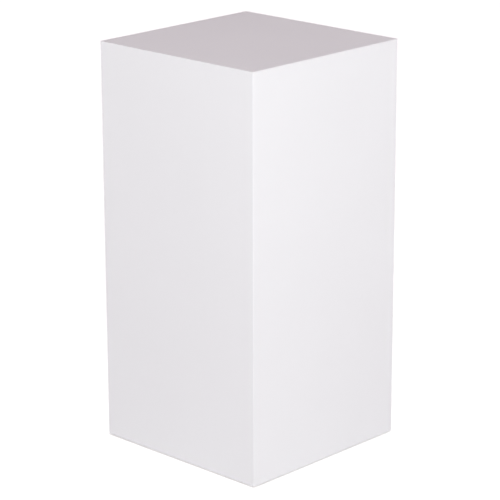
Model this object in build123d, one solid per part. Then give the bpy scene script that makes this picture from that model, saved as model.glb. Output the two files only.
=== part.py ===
from build123d import *
import os
from math import atan, degrees, radians, sqrt, tan

# A white display pedestal: a mitred board box on a recessed base with screw-adjusted levelling feet.
# Millimetres. The origin is on the floor under the middle of the box, +Z is up and -Y is the front.

# Overall size, with the feet wound fully in
WIDTH = 300
DEPTH = 300
HEIGHT = 600
FLOOR_GAP = 2

# Boards of the box
PANEL_THICKNESS = 15
ARRIS_RADIUS = 1.5

# Loose splines glued into grooves across the mitres
SPLINE_THICKNESS = 4
SPLINE_WIDTH = 12
SPLINE_SIDE_CLEARANCE = 0.1
SPLINE_END_CLEARANCE = 0.5
GROOVE_OUTER_WALL = 3.25
CORNER_SPLINE_STOP_LOW = 30
CORNER_SPLINE_STOP_HIGH = 45
TOP_SPLINE_STOP = 40

# Softwood battens and cleats glued inside the box
BATTEN_SIZE = 20
CLEAT_SIZE = 20
CLEAT_END_GAP = 0.5
TIMBER_CHAMFER = 1.5

# Base board
BASE_THICKNESS = 18
BASE_EDGE_GAP = 0.5
BASE_RIM = 60
ACCESS_CORNER_RADIUS = 25

# Small rounds that repeat, and fit nothing round, are bars of this many sides
LIGHT_SIDES = 24

# Countersunk wood screws, eight-sided to keep their many copies light
SCREW_SIDES = 8
SCREW_DIAMETER = 4
SCREW_HEAD_DIAMETER = 8
SCREW_HEAD_SLOPE = 45
SCREW_TIP_DIAMETER = 1
SCREW_TIP_LENGTH = 5
SCREW_CLEARANCE = 0.1
SCREW_SINK = 0.3
BASE_SCREW_COVER = 3
BASE_SCREW_FROM_END = 55
CLEAT_SCREW_COVER = 5
CLEAT_SCREW_FROM_END = 25

# Levelling feet: pad, foot base with a faceted grip, captive stem head, hexagon collar and stud
FOOT_FROM_BATTEN = 17
PAD_DIAMETER = 26
PAD_THICKNESS = 2
PAD_SEAT_DEPTH = 1
PAD_CLEARANCE = 0.2
FOOT_DIAMETER = 30
FOOT_RIM_HEIGHT = 4
FOOT_HEIGHT = 9
FOOT_SLOPE = 45
SOCKET_FLOOR = 1.3
HEAD_DIAMETER = 9
HEAD_HEIGHT = 3
NECK_DIAMETER = 6
SWIVEL_CLEARANCE = 0.1
FOOT_COLLAR_GAP = 0.2
COLLAR_SIDES = 6
COLLAR_ACROSS_FLATS = 13
COLLAR_HEIGHT = 5.5
COLLAR_STOP_GAP = 0.3
STUD_DIAMETER = 8
STUD_LENGTH = 38

# Pronged tee nuts that the studs turn in
THREAD_CLEARANCE = 0.05
TEE_BARREL_DIAMETER = 10
TEE_BARREL_SETBACK = 3
TEE_FLANGE_DIAMETER = 22
TEE_FLANGE_THICKNESS = 1.5
PRONG_COUNT = 4
PRONG_WIDTH = 4
PRONG_THICKNESS = 1.2
PRONG_LENGTH = 7
PRONG_SETBACK = 1
TEE_SEAT_CLEARANCE = 0.05

# Heights above the floor that several pieces share
SEAT_Z = PAD_THICKNESS - PAD_SEAT_DEPTH
FOOT_TOP_Z = SEAT_Z + FOOT_HEIGHT
COLLAR_Z = FOOT_TOP_Z + FOOT_COLLAR_GAP
BASE_BOTTOM_Z = COLLAR_Z + COLLAR_HEIGHT + COLLAR_STOP_GAP
BASE_TOP_Z = BASE_BOTTOM_Z + BASE_THICKNESS
INNER_TOP_Z = HEIGHT - PANEL_THICKNESS

# How far each outer and inner wall stands from the middle of the box
HALF_WIDTH = WIDTH / 2
HALF_DEPTH = DEPTH / 2
INNER_HALF_WIDTH = HALF_WIDTH - PANEL_THICKNESS
INNER_HALF_DEPTH = HALF_DEPTH - PANEL_THICKNESS

# How far in from both outer faces the middle of a spline lies
GROOVE_HALF_THICKNESS = SPLINE_THICKNESS / 2 + SPLINE_SIDE_CLEARANCE
GROOVE_DEPTH = SPLINE_WIDTH / 2 + SPLINE_END_CLEARANCE
SPLINE_INSET = GROOVE_OUTER_WALL + (GROOVE_HALF_THICKNESS + GROOVE_DEPTH) / sqrt(2)

# Each side is modelled as the front and turned into place: its turn, its length and its distance out
RIGHT_ANGLE = 90
MITRE_ANGLE = RIGHT_ANGLE / 2
SIDES = {
    "front": (0, WIDTH, HALF_DEPTH),
    "right": (RIGHT_ANGLE, DEPTH, HALF_WIDTH),
    "back": (2 * RIGHT_ANGLE, WIDTH, HALF_DEPTH),
    "left": (3 * RIGHT_ANGLE, DEPTH, HALF_WIDTH),
}

# The upright corners, by the signs of X and Y
CORNERS = {
    "front_left": (-1, -1),
    "front_right": (1, -1),
    "back_left": (-1, 1),
    "back_right": (1, 1),
}

BOTTOM_ALIGN = (Align.CENTER, Align.CENTER, Align.MIN)


def turned(shape, angle):
    """Turn a shape about the upright middle line of the box."""
    return Rot(0, 0, angle) * shape


def rod(diameter, height):
    """A round bar standing on z = 0."""
    return Cylinder(diameter / 2, height, align=BOTTOM_ALIGN)


def light_rod(diameter, height, taper=0):
    """A many-sided bar standing on z = 0, its diameter measured over the edges."""
    return extrude(RegularPolygon(diameter / 2, LIGHT_SIDES), height, taper=taper)


def faceted(across_flats, height, sides, taper=0):
    """A bar standing on z = 0, measured across its flats; a positive taper narrows it upwards."""
    section = RegularPolygon(across_flats / 2, sides, major_radius=False)
    return extrude(section, height, taper=taper)


def rounded_envelope():
    """The outside of the box with its upright and top edges eased."""
    block = Pos(0, 0, FLOOR_GAP) * Box(WIDTH, DEPTH, HEIGHT - FLOOR_GAP, align=BOTTOM_ALIGN)
    bottom_edges = block.edges().group_by(Axis.Z)[0]
    eased = [edge for edge in block.edges() if edge not in bottom_edges]
    return fillet(eased, ARRIS_RADIUS)


def corner_spline(corner, side_growth=0, end_growth=0):
    """A tongue across one upright mitre, or its groove when it is grown."""
    x_sign, y_sign = CORNERS[corner]
    low = FLOOR_GAP + CORNER_SPLINE_STOP_LOW - end_growth
    high = HEIGHT - CORNER_SPLINE_STOP_HIGH + end_growth
    tongue = Box(
        SPLINE_WIDTH + 2 * end_growth,
        SPLINE_THICKNESS + 2 * side_growth,
        high - low,
        align=BOTTOM_ALIGN,
    )
    place = Pos(x_sign * (HALF_WIDTH - SPLINE_INSET), y_sign * (HALF_DEPTH - SPLINE_INSET), low)
    return place * Rot(0, 0, -MITRE_ANGLE * x_sign * y_sign) * tongue


def top_spline(side, side_growth=0, end_growth=0):
    """A tongue across the mitre under one top edge, or its groove when it is grown."""
    angle, length, reach = SIDES[side]
    tongue = Box(
        length - 2 * TOP_SPLINE_STOP + 2 * end_growth,
        SPLINE_WIDTH + 2 * end_growth,
        SPLINE_THICKNESS + 2 * side_growth,
    )
    place = Pos(0, SPLINE_INSET - reach, HEIGHT - SPLINE_INSET)
    return turned(place * Rot(MITRE_ANGLE, 0, 0) * tongue, angle)


def cut_grooves(panel):
    """Cut every spline groove that reaches a panel."""
    for corner in CORNERS:
        panel -= corner_spline(corner, SPLINE_SIDE_CLEARANCE, SPLINE_END_CLEARANCE)
    for side in SIDES:
        panel -= top_spline(side, SPLINE_SIDE_CLEARANCE, SPLINE_END_CLEARANCE)
    return panel


def wood_screw(length, growth=0):
    """A countersunk screw, head up at z = 0 and tip down, or its hole when it is grown."""
    head = SCREW_HEAD_DIAMETER + 2 * growth
    shank = SCREW_DIAMETER + 2 * growth
    head_height = (SCREW_HEAD_DIAMETER - SCREW_DIAMETER) / 2 / tan(radians(SCREW_HEAD_SLOPE))
    tip_taper = degrees(atan((SCREW_DIAMETER - SCREW_TIP_DIAMETER) / 2 / SCREW_TIP_LENGTH))
    tip_z = length - SCREW_TIP_LENGTH + growth
    screw = faceted(head, head_height, SCREW_SIDES, SCREW_HEAD_SLOPE)
    screw += Pos(0, 0, head_height) * faceted(shank, tip_z - head_height, SCREW_SIDES)
    screw += Pos(0, 0, tip_z) * faceted(shank, SCREW_TIP_LENGTH, SCREW_SIDES, tip_taper)
    return Rot(180, 0, 0) * screw


def screw_hole(length):
    """The countersunk hole of a screw, open above its sunk head."""
    mouth = faceted(SCREW_HEAD_DIAMETER + 2 * SCREW_CLEARANCE, 2 * SCREW_SINK, SCREW_SIDES)
    return wood_screw(length, SCREW_CLEARANCE) + mouth


def cleat_half_length(side):
    """Half the length of the cleats along one side, between the corner battens."""
    length = SIDES[side][1]
    return length / 2 - PANEL_THICKNESS - BATTEN_SIZE - CLEAT_END_GAP


def base_screw_places(side):
    """Where the base screws of one side enter the base board, heads down."""
    angle, _, reach = SIDES[side]
    along = cleat_half_length(side) - BASE_SCREW_FROM_END
    line = PANEL_THICKNESS + CLEAT_SIZE / 2 - reach
    height = BASE_BOTTOM_Z + SCREW_SINK
    return [Rot(0, 0, angle) * Pos(x, line, height) * Rot(180, 0, 0) for x in (-along, along)]


def cleat_screw_places(side, height):
    """Where the screws of one cleat enter it from inside the box, heads inwards."""
    angle, _, reach = SIDES[side]
    along = cleat_half_length(side) - CLEAT_SCREW_FROM_END
    inner_face = PANEL_THICKNESS + CLEAT_SIZE - SCREW_SINK - reach
    return [Rot(0, 0, angle) * Pos(x, inner_face, height) * Rot(-90, 0, 0) for x in (-along, along)]


BASE_SCREW_LENGTH = BASE_THICKNESS + CLEAT_SIZE - BASE_SCREW_COVER
CLEAT_SCREW_LENGTH = CLEAT_SIZE + PANEL_THICKNESS - CLEAT_SCREW_COVER
BOTTOM_CLEAT_MIDDLE_Z = BASE_TOP_Z + CLEAT_SIZE / 2
TOP_CLEAT_MIDDLE_Z = INNER_TOP_Z - CLEAT_SIZE / 2


def cut_cleat_screws(piece, side, heights):
    """Drill one side's cleat screw holes at the given heights."""
    for height in heights:
        for place in cleat_screw_places(side, height):
            piece -= place * screw_hole(CLEAT_SCREW_LENGTH)
    return piece


def side_panel(side):
    """An upright board, mitred along both sides and the top."""
    angle, length, reach = SIDES[side]
    height = HEIGHT - FLOOR_GAP
    board = Wedge(
        length,
        PANEL_THICKNESS,
        height,
        PANEL_THICKNESS,
        0,
        length - PANEL_THICKNESS,
        height - PANEL_THICKNESS,
        align=(Align.CENTER, Align.MIN, Align.MIN),
    )
    board = turned(Pos(0, -reach, FLOOR_GAP) * board, angle)
    board = cut_grooves(board & rounded_envelope())
    return cut_cleat_screws(board, side, (BOTTOM_CLEAT_MIDDLE_Z, TOP_CLEAT_MIDDLE_Z))


def top_panel():
    """The top board, mitred on all four edges."""
    board = Wedge(
        WIDTH,
        PANEL_THICKNESS,
        DEPTH,
        PANEL_THICKNESS,
        PANEL_THICKNESS,
        WIDTH - PANEL_THICKNESS,
        DEPTH - PANEL_THICKNESS,
        align=(Align.CENTER, Align.MIN, Align.CENTER),
    )
    board = Pos(0, 0, HEIGHT) * Rot(-90, 0, 0) * board
    return cut_grooves(board & rounded_envelope())


def corner_batten(corner):
    """A square batten in one upright corner, its free edge chamfered."""
    x_sign, y_sign = CORNERS[corner]
    low = BASE_TOP_Z
    batten = Box(BATTEN_SIZE, BATTEN_SIZE, INNER_TOP_Z - low, align=BOTTOM_ALIGN)
    x = x_sign * (INNER_HALF_WIDTH - BATTEN_SIZE / 2)
    y = y_sign * (INNER_HALF_DEPTH - BATTEN_SIZE / 2)
    batten = Pos(x, y, low) * batten
    free_edge = batten.edges().filter_by(Axis.Z).sort_by_distance((0, 0, low))[0]
    return chamfer(free_edge, TIMBER_CHAMFER)


def plain_cleat(side, middle_height, free_height):
    """A cleat along one side, its free long edge chamfered."""
    angle, _, reach = SIDES[side]
    cleat = Box(2 * cleat_half_length(side), CLEAT_SIZE, CLEAT_SIZE)
    cleat = Pos(0, PANEL_THICKNESS + CLEAT_SIZE / 2 - reach, middle_height) * cleat
    free_edge = cleat.edges().filter_by(Axis.X).sort_by_distance((0, 0, free_height))[0]
    cleat = turned(chamfer(free_edge, TIMBER_CHAMFER), angle)
    return cut_cleat_screws(cleat, side, (middle_height,))


def bottom_cleat(side):
    """A cleat that the base board is screwed up into."""
    cleat = plain_cleat(side, BOTTOM_CLEAT_MIDDLE_Z, INNER_TOP_Z)
    for place in base_screw_places(side):
        cleat -= place * screw_hole(BASE_SCREW_LENGTH)
    return cleat


def top_cleat(side):
    """A cleat that stiffens the joint under the top board."""
    return plain_cleat(side, TOP_CLEAT_MIDDLE_Z, BASE_TOP_Z)


def foot_place(corner, height=0):
    """The upright axis of one levelling foot."""
    x_sign, y_sign = CORNERS[corner]
    x = x_sign * (INNER_HALF_WIDTH - BATTEN_SIZE - FOOT_FROM_BATTEN)
    y = y_sign * (INNER_HALF_DEPTH - BATTEN_SIZE - FOOT_FROM_BATTEN)
    return Pos(x, y, height)


def prong(growth=0):
    """One tee nut prong, hanging below z = 0 and tapering to its point."""
    width = PRONG_WIDTH + 2 * growth
    blade = make_face(
        Polyline((-width / 2, 0), (width / 2, 0), (0, -PRONG_LENGTH - growth), close=True)
    )
    middle = TEE_FLANGE_DIAMETER / 2 - PRONG_SETBACK - PRONG_THICKNESS / 2
    blade = extrude(Plane.XZ * blade, PRONG_THICKNESS / 2 + growth, both=True)
    return Pos(0, -middle, 0) * blade


def tee_nut():
    """A tee nut with its flange resting on z = 0 and its barrel hanging below."""
    barrel_length = BASE_THICKNESS - TEE_BARREL_SETBACK
    nut = light_rod(TEE_FLANGE_DIAMETER, TEE_FLANGE_THICKNESS)
    nut += Pos(0, 0, -barrel_length) * light_rod(TEE_BARREL_DIAMETER, barrel_length)
    for i in range(PRONG_COUNT):
        nut += turned(prong(), (i + 0.5) * 360 / PRONG_COUNT)
    bore = rod(STUD_DIAMETER + 2 * THREAD_CLEARANCE, barrel_length + TEE_FLANGE_THICKNESS)
    return nut - Pos(0, 0, -barrel_length) * bore


def tee_nut_hole():
    """The hole in the base board for a tee nut's barrel and prongs, from z = 0 down."""
    hole = light_rod(TEE_BARREL_DIAMETER + 2 * TEE_SEAT_CLEARANCE, BASE_THICKNESS)
    hole = Pos(0, 0, -BASE_THICKNESS) * hole
    for i in range(PRONG_COUNT):
        hole += turned(prong(TEE_SEAT_CLEARANCE), (i + 0.5) * 360 / PRONG_COUNT)
    return hole


def base_panel():
    """The base board with its access opening, tee nut holes and screw holes."""
    board_width = 2 * (INNER_HALF_WIDTH - BASE_EDGE_GAP)
    board_depth = 2 * (INNER_HALF_DEPTH - BASE_EDGE_GAP)
    access = RectangleRounded(
        board_width - 2 * BASE_RIM,
        board_depth - 2 * BASE_RIM,
        ACCESS_CORNER_RADIUS,
    )
    board = extrude(Rectangle(board_width, board_depth) - access, BASE_THICKNESS)
    board = Pos(0, 0, BASE_BOTTOM_Z) * board
    for corner in CORNERS:
        board -= foot_place(corner, BASE_TOP_Z) * tee_nut_hole()
    for side in SIDES:
        for place in base_screw_places(side):
            board -= place * screw_hole(BASE_SCREW_LENGTH)
    return board


def foot_base():
    """A nylon foot base: faceted grip, pad recess below and a closed socket for the stem's head."""
    body = light_rod(FOOT_DIAMETER, FOOT_RIM_HEIGHT)
    slope = light_rod(FOOT_DIAMETER, FOOT_HEIGHT - FOOT_RIM_HEIGHT, FOOT_SLOPE)
    body += Pos(0, 0, FOOT_RIM_HEIGHT) * slope
    body -= light_rod(PAD_DIAMETER + 2 * PAD_CLEARANCE, PAD_SEAT_DEPTH)
    socket = rod(HEAD_DIAMETER + 2 * SWIVEL_CLEARANCE, HEAD_HEIGHT + 2 * SWIVEL_CLEARANCE)
    socket += rod(NECK_DIAMETER + 2 * SWIVEL_CLEARANCE, FOOT_HEIGHT)
    return Pos(0, 0, SEAT_Z) * body - Pos(0, 0, PAD_THICKNESS + SOCKET_FLOOR) * socket


def foot_pad():
    """A non-slip pad let into the underside of a foot base."""
    return light_rod(PAD_DIAMETER, PAD_THICKNESS)


def levelling_stem():
    """Captive head, neck, hexagon collar and stud of one levelling foot."""
    head_z = PAD_THICKNESS + SOCKET_FLOOR + SWIVEL_CLEARANCE
    stem = Pos(0, 0, head_z) * rod(HEAD_DIAMETER, HEAD_HEIGHT)
    stem += Pos(0, 0, head_z) * rod(NECK_DIAMETER, COLLAR_Z - head_z)
    stem += Pos(0, 0, COLLAR_Z) * faceted(COLLAR_ACROSS_FLATS, COLLAR_HEIGHT, COLLAR_SIDES)
    return stem + Pos(0, 0, COLLAR_Z + COLLAR_HEIGHT) * rod(STUD_DIAMETER, STUD_LENGTH)


def group(piece, places):
    """One piece repeated at several places, as separate solids that share one node."""
    return Compound(children=[Part() + place * piece for place in places])


def base_screws():
    """The screws that hold the base board up against the bottom cleats."""
    places = [place for side in SIDES for place in base_screw_places(side)]
    return group(wood_screw(BASE_SCREW_LENGTH), places)


def cleat_screws(height):
    """The screws that hold the cleats of one level to the side panels."""
    places = [place for side in SIDES for place in cleat_screw_places(side, height)]
    return group(wood_screw(CLEAT_SCREW_LENGTH), places)


def all_parts():
    """Every node of the pedestal by name."""
    parts = {"top_panel": top_panel()}
    for side in SIDES:
        parts[f"{side}_panel"] = side_panel(side)
        parts[f"top_spline_{side}"] = top_spline(side)
        parts[f"top_cleat_{side}"] = top_cleat(side)
        parts[f"bottom_cleat_{side}"] = bottom_cleat(side)
    for corner in CORNERS:
        parts[f"corner_spline_{corner}"] = corner_spline(corner)
        parts[f"corner_batten_{corner}"] = corner_batten(corner)
        parts[f"levelling_stem_{corner}"] = foot_place(corner) * levelling_stem()
        parts[f"foot_base_{corner}"] = foot_place(corner) * foot_base()
        parts[f"foot_pad_{corner}"] = foot_place(corner) * foot_pad()
    parts["base_panel"] = base_panel()
    parts["tee_nuts"] = group(tee_nut(), [foot_place(corner, BASE_TOP_Z) for corner in CORNERS])
    parts["base_screws"] = base_screws()
    parts["bottom_cleat_screws"] = cleat_screws(BOTTOM_CLEAT_MIDDLE_Z)
    parts["top_cleat_screws"] = cleat_screws(TOP_CLEAT_MIDDLE_Z)
    return parts


os.makedirs("parts", exist_ok=True)
for name, shape in all_parts().items():
    export_step(shape, f"parts/{name}.step")
    print(name, round(shape.volume / 1000, 1), "cm3")
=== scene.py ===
"""A white square display pedestal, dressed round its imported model.

Lengths are in metres in the part's own frame: the origin is on the floor under the middle
of the box, +Z is up, -Y is the front and +X is to the right of someone who faces the front.
"""

import logging
import math
from dataclasses import dataclass, field
from enum import Enum
from typing import Any, Callable, Sequence

import bmesh
import bpy
from bpy.types import Material, Mesh, Node, NodeSocket, NodeTree, Object
from mathutils import Euler, Matrix, Vector


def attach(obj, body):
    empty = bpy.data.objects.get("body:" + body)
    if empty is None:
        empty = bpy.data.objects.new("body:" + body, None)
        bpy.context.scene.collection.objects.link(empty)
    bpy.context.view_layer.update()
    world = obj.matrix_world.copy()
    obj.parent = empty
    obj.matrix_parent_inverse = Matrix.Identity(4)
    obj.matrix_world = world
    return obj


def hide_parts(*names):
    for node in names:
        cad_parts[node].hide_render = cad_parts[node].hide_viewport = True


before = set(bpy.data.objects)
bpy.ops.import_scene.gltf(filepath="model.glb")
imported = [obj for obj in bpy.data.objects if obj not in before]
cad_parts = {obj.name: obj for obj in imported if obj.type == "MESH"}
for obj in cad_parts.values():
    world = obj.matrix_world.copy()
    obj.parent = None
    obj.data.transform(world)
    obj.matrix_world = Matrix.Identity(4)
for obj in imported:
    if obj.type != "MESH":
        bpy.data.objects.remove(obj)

LOG = logging.getLogger("display_pedestal")
MM = 0.001

CORNERS: dict[str, tuple[int, int]] = {
    "front_left": (-1, -1),
    "front_right": (1, -1),
    "back_left": (-1, 1),
    "back_right": (1, 1),
}
SIDE_TURNS: dict[str, float] = {
    "front": 0.0,
    "right": math.pi / 2,
    "back": math.pi,
    "left": 3 * math.pi / 2,
}

Colour = tuple[float, float, float]
Range = tuple[float, float]
WHITE: Colour = (1.0, 1.0, 1.0)

FLOAT = "NodeSocketFloat"
VECTOR = "NodeSocketVector"
GEOMETRY = "NodeSocketGeometry"


class Grain(Enum):
    """The way the grain of a timber piece runs."""

    ALONG_X = (0.0, math.pi / 2, 0.0)
    ALONG_Y = (math.pi / 2, 0.0, 0.0)
    UPRIGHT = (0.0, 0.0, 0.0)


class Graph:
    """Adds nodes to a shader or geometry tree and joins them."""

    def __init__(self, tree: NodeTree) -> None:
        """Takes the tree to work in.

        Args:
            tree: The tree that the nodes go into.
        """
        self.tree = tree

    def node(self, kind: str, wires: dict[Any, Any] | None = None, **settings: Any) -> Node:
        """Adds one node.

        Args:
            kind: Blender's type name of the node.
            wires: For each input, by name or number, the socket or the value that goes in.
            settings: Properties of the node, set before its inputs are looked up.

        Returns:
            The new node.
        """
        made = self.tree.nodes.new(kind)
        for name, value in settings.items():
            setattr(made, name, value)
        for key, value in (wires or {}).items():
            socket = made.inputs[key] if isinstance(key, int) else self._open_socket(made.inputs, key)
            if isinstance(value, NodeSocket):
                self.tree.links.new(value, socket)
            else:
                socket.default_value = value
        return made

    def add(
        self, kind: str, wires: dict[Any, Any] | None = None, out: str = "", **settings: Any
    ) -> NodeSocket:
        """Adds one node and gives one of its outputs.

        Args:
            kind: Blender's type name of the node.
            wires: As for node().
            out: Name of the output, or the first one in use if it is empty.
            settings: As for node().

        Returns:
            The output socket.
        """
        made = self.node(kind, wires, **settings)
        if out:
            return self._open_socket(made.outputs, out)
        return next(socket for socket in made.outputs if socket.enabled)

    @staticmethod
    def _open_socket(sockets: Any, name: str) -> NodeSocket:
        """The socket of that name that is in use with the node's settings."""
        return next(socket for socket in sockets if socket.name == name and socket.enabled)

    def math(self, operation: str, *values: Any) -> NodeSocket:
        """One sum on numbers, shader or geometry."""
        return self.add("ShaderNodeMath", dict(enumerate(values)), operation=operation)

    def spread(
        self, value: Any, low: Any, high: Any, to_low: float = 0.0, to_high: float = 1.0
    ) -> NodeSocket:
        """Moves a number from one range to another, held at both ends."""
        wires = {"Value": value, "From Min": low, "From Max": high, "To Min": to_low, "To Max": to_high}
        return self.add("ShaderNodeMapRange", wires)

    def vector(self, x: Any, y: Any, z: Any) -> NodeSocket:
        """Joins three numbers into a vector."""
        return self.add("ShaderNodeCombineXYZ", {"X": x, "Y": y, "Z": z})

    def split(self, vector: Any) -> tuple[NodeSocket, ...]:
        """The X, Y and Z of a vector."""
        return tuple(self.node("ShaderNodeSeparateXYZ", {"Vector": vector}).outputs)

    def dot(self, first: Any, second: Any) -> NodeSocket:
        """How far one vector reaches along another."""
        wires = {0: first, 1: second}
        return self.add("ShaderNodeVectorMath", wires, out="Value", operation="DOT_PRODUCT")

    def farther(self, x: Any, y: Any) -> NodeSocket:
        """The larger of two numbers, both taken without their sign."""
        return self.math("MAXIMUM", self.math("ABSOLUTE", x), self.math("ABSOLUTE", y))

    def radius(self, x: Any, y: Any) -> NodeSocket:
        """Distance from the Z axis."""
        return self.math("SQRT", self.math("MULTIPLY_ADD", x, x, self.math("MULTIPLY", y, y)))

    def blend(self, share: Any, first: Any, second: Any) -> NodeSocket:
        """Mixes two colours by a share of the second."""
        return self.add("ShaderNodeMix", {"Factor": share, "A": first, "B": second}, data_type="RGBA")

    def slide(self, share: Any, first: Any, second: Any) -> NodeSocket:
        """Mixes two numbers by a share of the second."""
        return self.add("ShaderNodeMix", {"Factor": share, "A": first, "B": second}, data_type="FLOAT")

    def noise(self, vector: Any, scale: Any, detail: float = 2.0) -> NodeSocket:
        """Smooth noise from 0 to 1."""
        return self.add("ShaderNodeTexNoise", {"Vector": vector, "Scale": scale, "Detail": detail})

    def use(self, group: NodeTree, wires: dict[str, Any]) -> Node:
        """Places a shader node group.

        Args:
            group: The group.
            wires: For each named input, the socket or the value that goes in.

        Returns:
            The group's node.
        """
        made = self.tree.nodes.new("ShaderNodeGroup")
        made.node_tree = group
        for name, value in wires.items():
            if isinstance(value, NodeSocket):
                self.tree.links.new(value, made.inputs[name])
            else:
                made.inputs[name].default_value = value
        return made


def new_group(
    kind: str, name: str, inputs: Sequence[tuple[str, str, Any]], outputs: Sequence[tuple[str, str]]
) -> tuple[Graph, Node, Node]:
    """Starts a node group with named inputs and outputs.

    Args:
        kind: Type name of the tree, shader or geometry.
        name: Name of the group.
        inputs: Name, socket type and default of each input; a default of None sets none.
        outputs: Name and socket type of each output.

    Returns:
        The graph, its input node and its output node.
    """
    tree = bpy.data.node_groups.new(name, kind)
    for label, socket_type, default in inputs:
        socket = tree.interface.new_socket(label, in_out="INPUT", socket_type=socket_type)
        if default is not None:
            socket.default_value = default
    for label, socket_type in outputs:
        tree.interface.new_socket(label, in_out="OUTPUT", socket_type=socket_type)
    graph = Graph(tree)
    return graph, graph.node("NodeGroupInput"), graph.node("NodeGroupOutput")


class SurfaceEffects:
    """Shader groups that several finishes share.

    Attributes:
        HEART: Where the heart of the tree stands, across the grain.
    """

    HEART = (0.31, 0.27)

    def __init__(self) -> None:
        """Builds every group once."""
        self.mottle = self._mottle()
        self.fibre = self._fibre()
        self.outer_skin = self._outer_skin()

    @staticmethod
    def _mottle() -> NodeTree:
        """Soft cloudy change, with a fine one on top, for colour and roughness.

        Returns:
            The group's tree.
        """
        graph, given, result = new_group(
            "ShaderNodeTree",
            "mottle",
            [
                ("Vector", VECTOR, None),
                ("Cloud Scale", FLOAT, 8.0),
                ("Speck Scale", FLOAT, 400.0),
                ("Speck Share", FLOAT, 0.3),
            ],
            [("Value", FLOAT), ("Speck", FLOAT)],
        )
        cloud = graph.noise(given.outputs["Vector"], given.outputs["Cloud Scale"])
        speck = graph.noise(given.outputs["Vector"], given.outputs["Speck Scale"])
        both = graph.slide(given.outputs["Speck Share"], cloud, speck)
        graph.tree.links.new(graph.spread(both, 0.3, 0.7), result.inputs["Value"])
        graph.tree.links.new(speck, result.inputs["Speck"])
        return graph.tree

    @classmethod
    def _fibre(cls) -> NodeTree:
        """Growth rings and fine fibres of wood whose grain runs along the vector's Z.

        Returns:
            The group's tree.
        """
        graph, given, result = new_group(
            "ShaderNodeTree",
            "wood_fibre",
            [
                ("Vector", VECTOR, None),
                ("Ring Gap", FLOAT, 0.003),
                ("Ring Wander", FLOAT, 0.004),
                ("Fibre Scale", FLOAT, 2500.0),
                ("Stretch", FLOAT, 0.02),
            ],
            [("Rings", FLOAT), ("Fibres", FLOAT)],
        )
        vector = given.outputs["Vector"]
        long_way = graph.vector(1.0, 1.0, given.outputs["Stretch"])
        drawn = graph.add("ShaderNodeVectorMath", {0: vector, 1: long_way}, operation="MULTIPLY")
        wander = graph.math("SUBTRACT", graph.noise(drawn, 30.0), 0.5)
        wide, deep = (graph.math("ADD", part, away) for part, away in zip(graph.split(drawn), cls.HEART))
        heart = graph.vector(wide, deep, 0.0)
        across = graph.add("ShaderNodeVectorMath", {0: heart}, out="Value", operation="LENGTH")
        bent = graph.math("MULTIPLY_ADD", wander, given.outputs["Ring Wander"], across)
        phase = graph.math("FRACT", graph.math("DIVIDE", bent, given.outputs["Ring Gap"]))
        rings = graph.math("POWER", phase, 2.5)
        graph.tree.links.new(rings, result.inputs["Rings"])
        graph.tree.links.new(graph.noise(drawn, given.outputs["Fibre Scale"], 3.0), result.inputs["Fibres"])
        return graph.tree

    @staticmethod
    def _outer_skin() -> NodeTree:
        """A mask of 1 on the outer faces of the box and 0 on its inner faces.

        Returns:
            The group's tree.
        """
        graph, given, result = new_group(
            "ShaderNodeTree",
            "outer_skin",
            [
                ("Vector", VECTOR, None),
                ("Half Width", FLOAT, 0.15),
                ("Top", FLOAT, 0.6),
                ("Skin", FLOAT, 0.0007),
                ("Fade", FLOAT, 0.003),
            ],
            [("Mask", FLOAT)],
        )
        vector = given.outputs["Vector"]
        across, deep, height = graph.split(vector)
        depth = graph.math(
            "MINIMUM",
            graph.math("SUBTRACT", given.outputs["Half Width"], graph.farther(across, deep)),
            graph.math("SUBTRACT", given.outputs["Top"], height),
        )
        ragged = graph.math("MULTIPLY", graph.noise(vector, 900.0), given.outputs["Fade"])
        inner = graph.math("ADD", given.outputs["Skin"], ragged)
        mask = graph.spread(depth, given.outputs["Skin"], inner, 1.0, 0.0)
        graph.tree.links.new(mask, result.inputs["Mask"])
        return graph.tree


class Surface:
    """One material in the making: its graph, its shader and the piece's own coordinates."""

    def __init__(self, name: str, specular: float, metallic: float = 0.0) -> None:
        """Starts the material.

        Args:
            name: Name of the material.
            specular: Specular level of the shader.
            metallic: 1 for bare metal.
        """
        self.material = bpy.data.materials.new(name)
        self.material.use_nodes = True
        self.graph = Graph(self.material.node_tree)
        self.shader = self.material.node_tree.nodes["Principled BSDF"]
        self.shader.inputs["Specular IOR Level"].default_value = specular
        self.shader.inputs["Metallic"].default_value = metallic
        self.spot = self.graph.add("ShaderNodeTexCoord", out="Object")

    def close(self, colour: Any, roughness: Any, height: Any, depth: float) -> Material:
        """Wires the changing values to the shader.

        Args:
            colour: Socket of the base colour.
            roughness: Socket of the roughness.
            height: Socket of the bump height, from 0 to 1.
            depth: Depth of the bump in metres.

        Returns:
            The material.
        """
        links = self.graph.tree.links
        links.new(colour, self.shader.inputs["Base Color"])
        links.new(roughness, self.shader.inputs["Roughness"])
        bump = self.graph.add("ShaderNodeBump", {"Height": height, "Strength": 1.0, "Distance": depth})
        links.new(bump, self.shader.inputs["Normal"])
        return self.material


def rgba(colour: Colour) -> tuple[float, float, float, float]:
    """A colour with full opacity."""
    return (*colour, 1.0)


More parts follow.
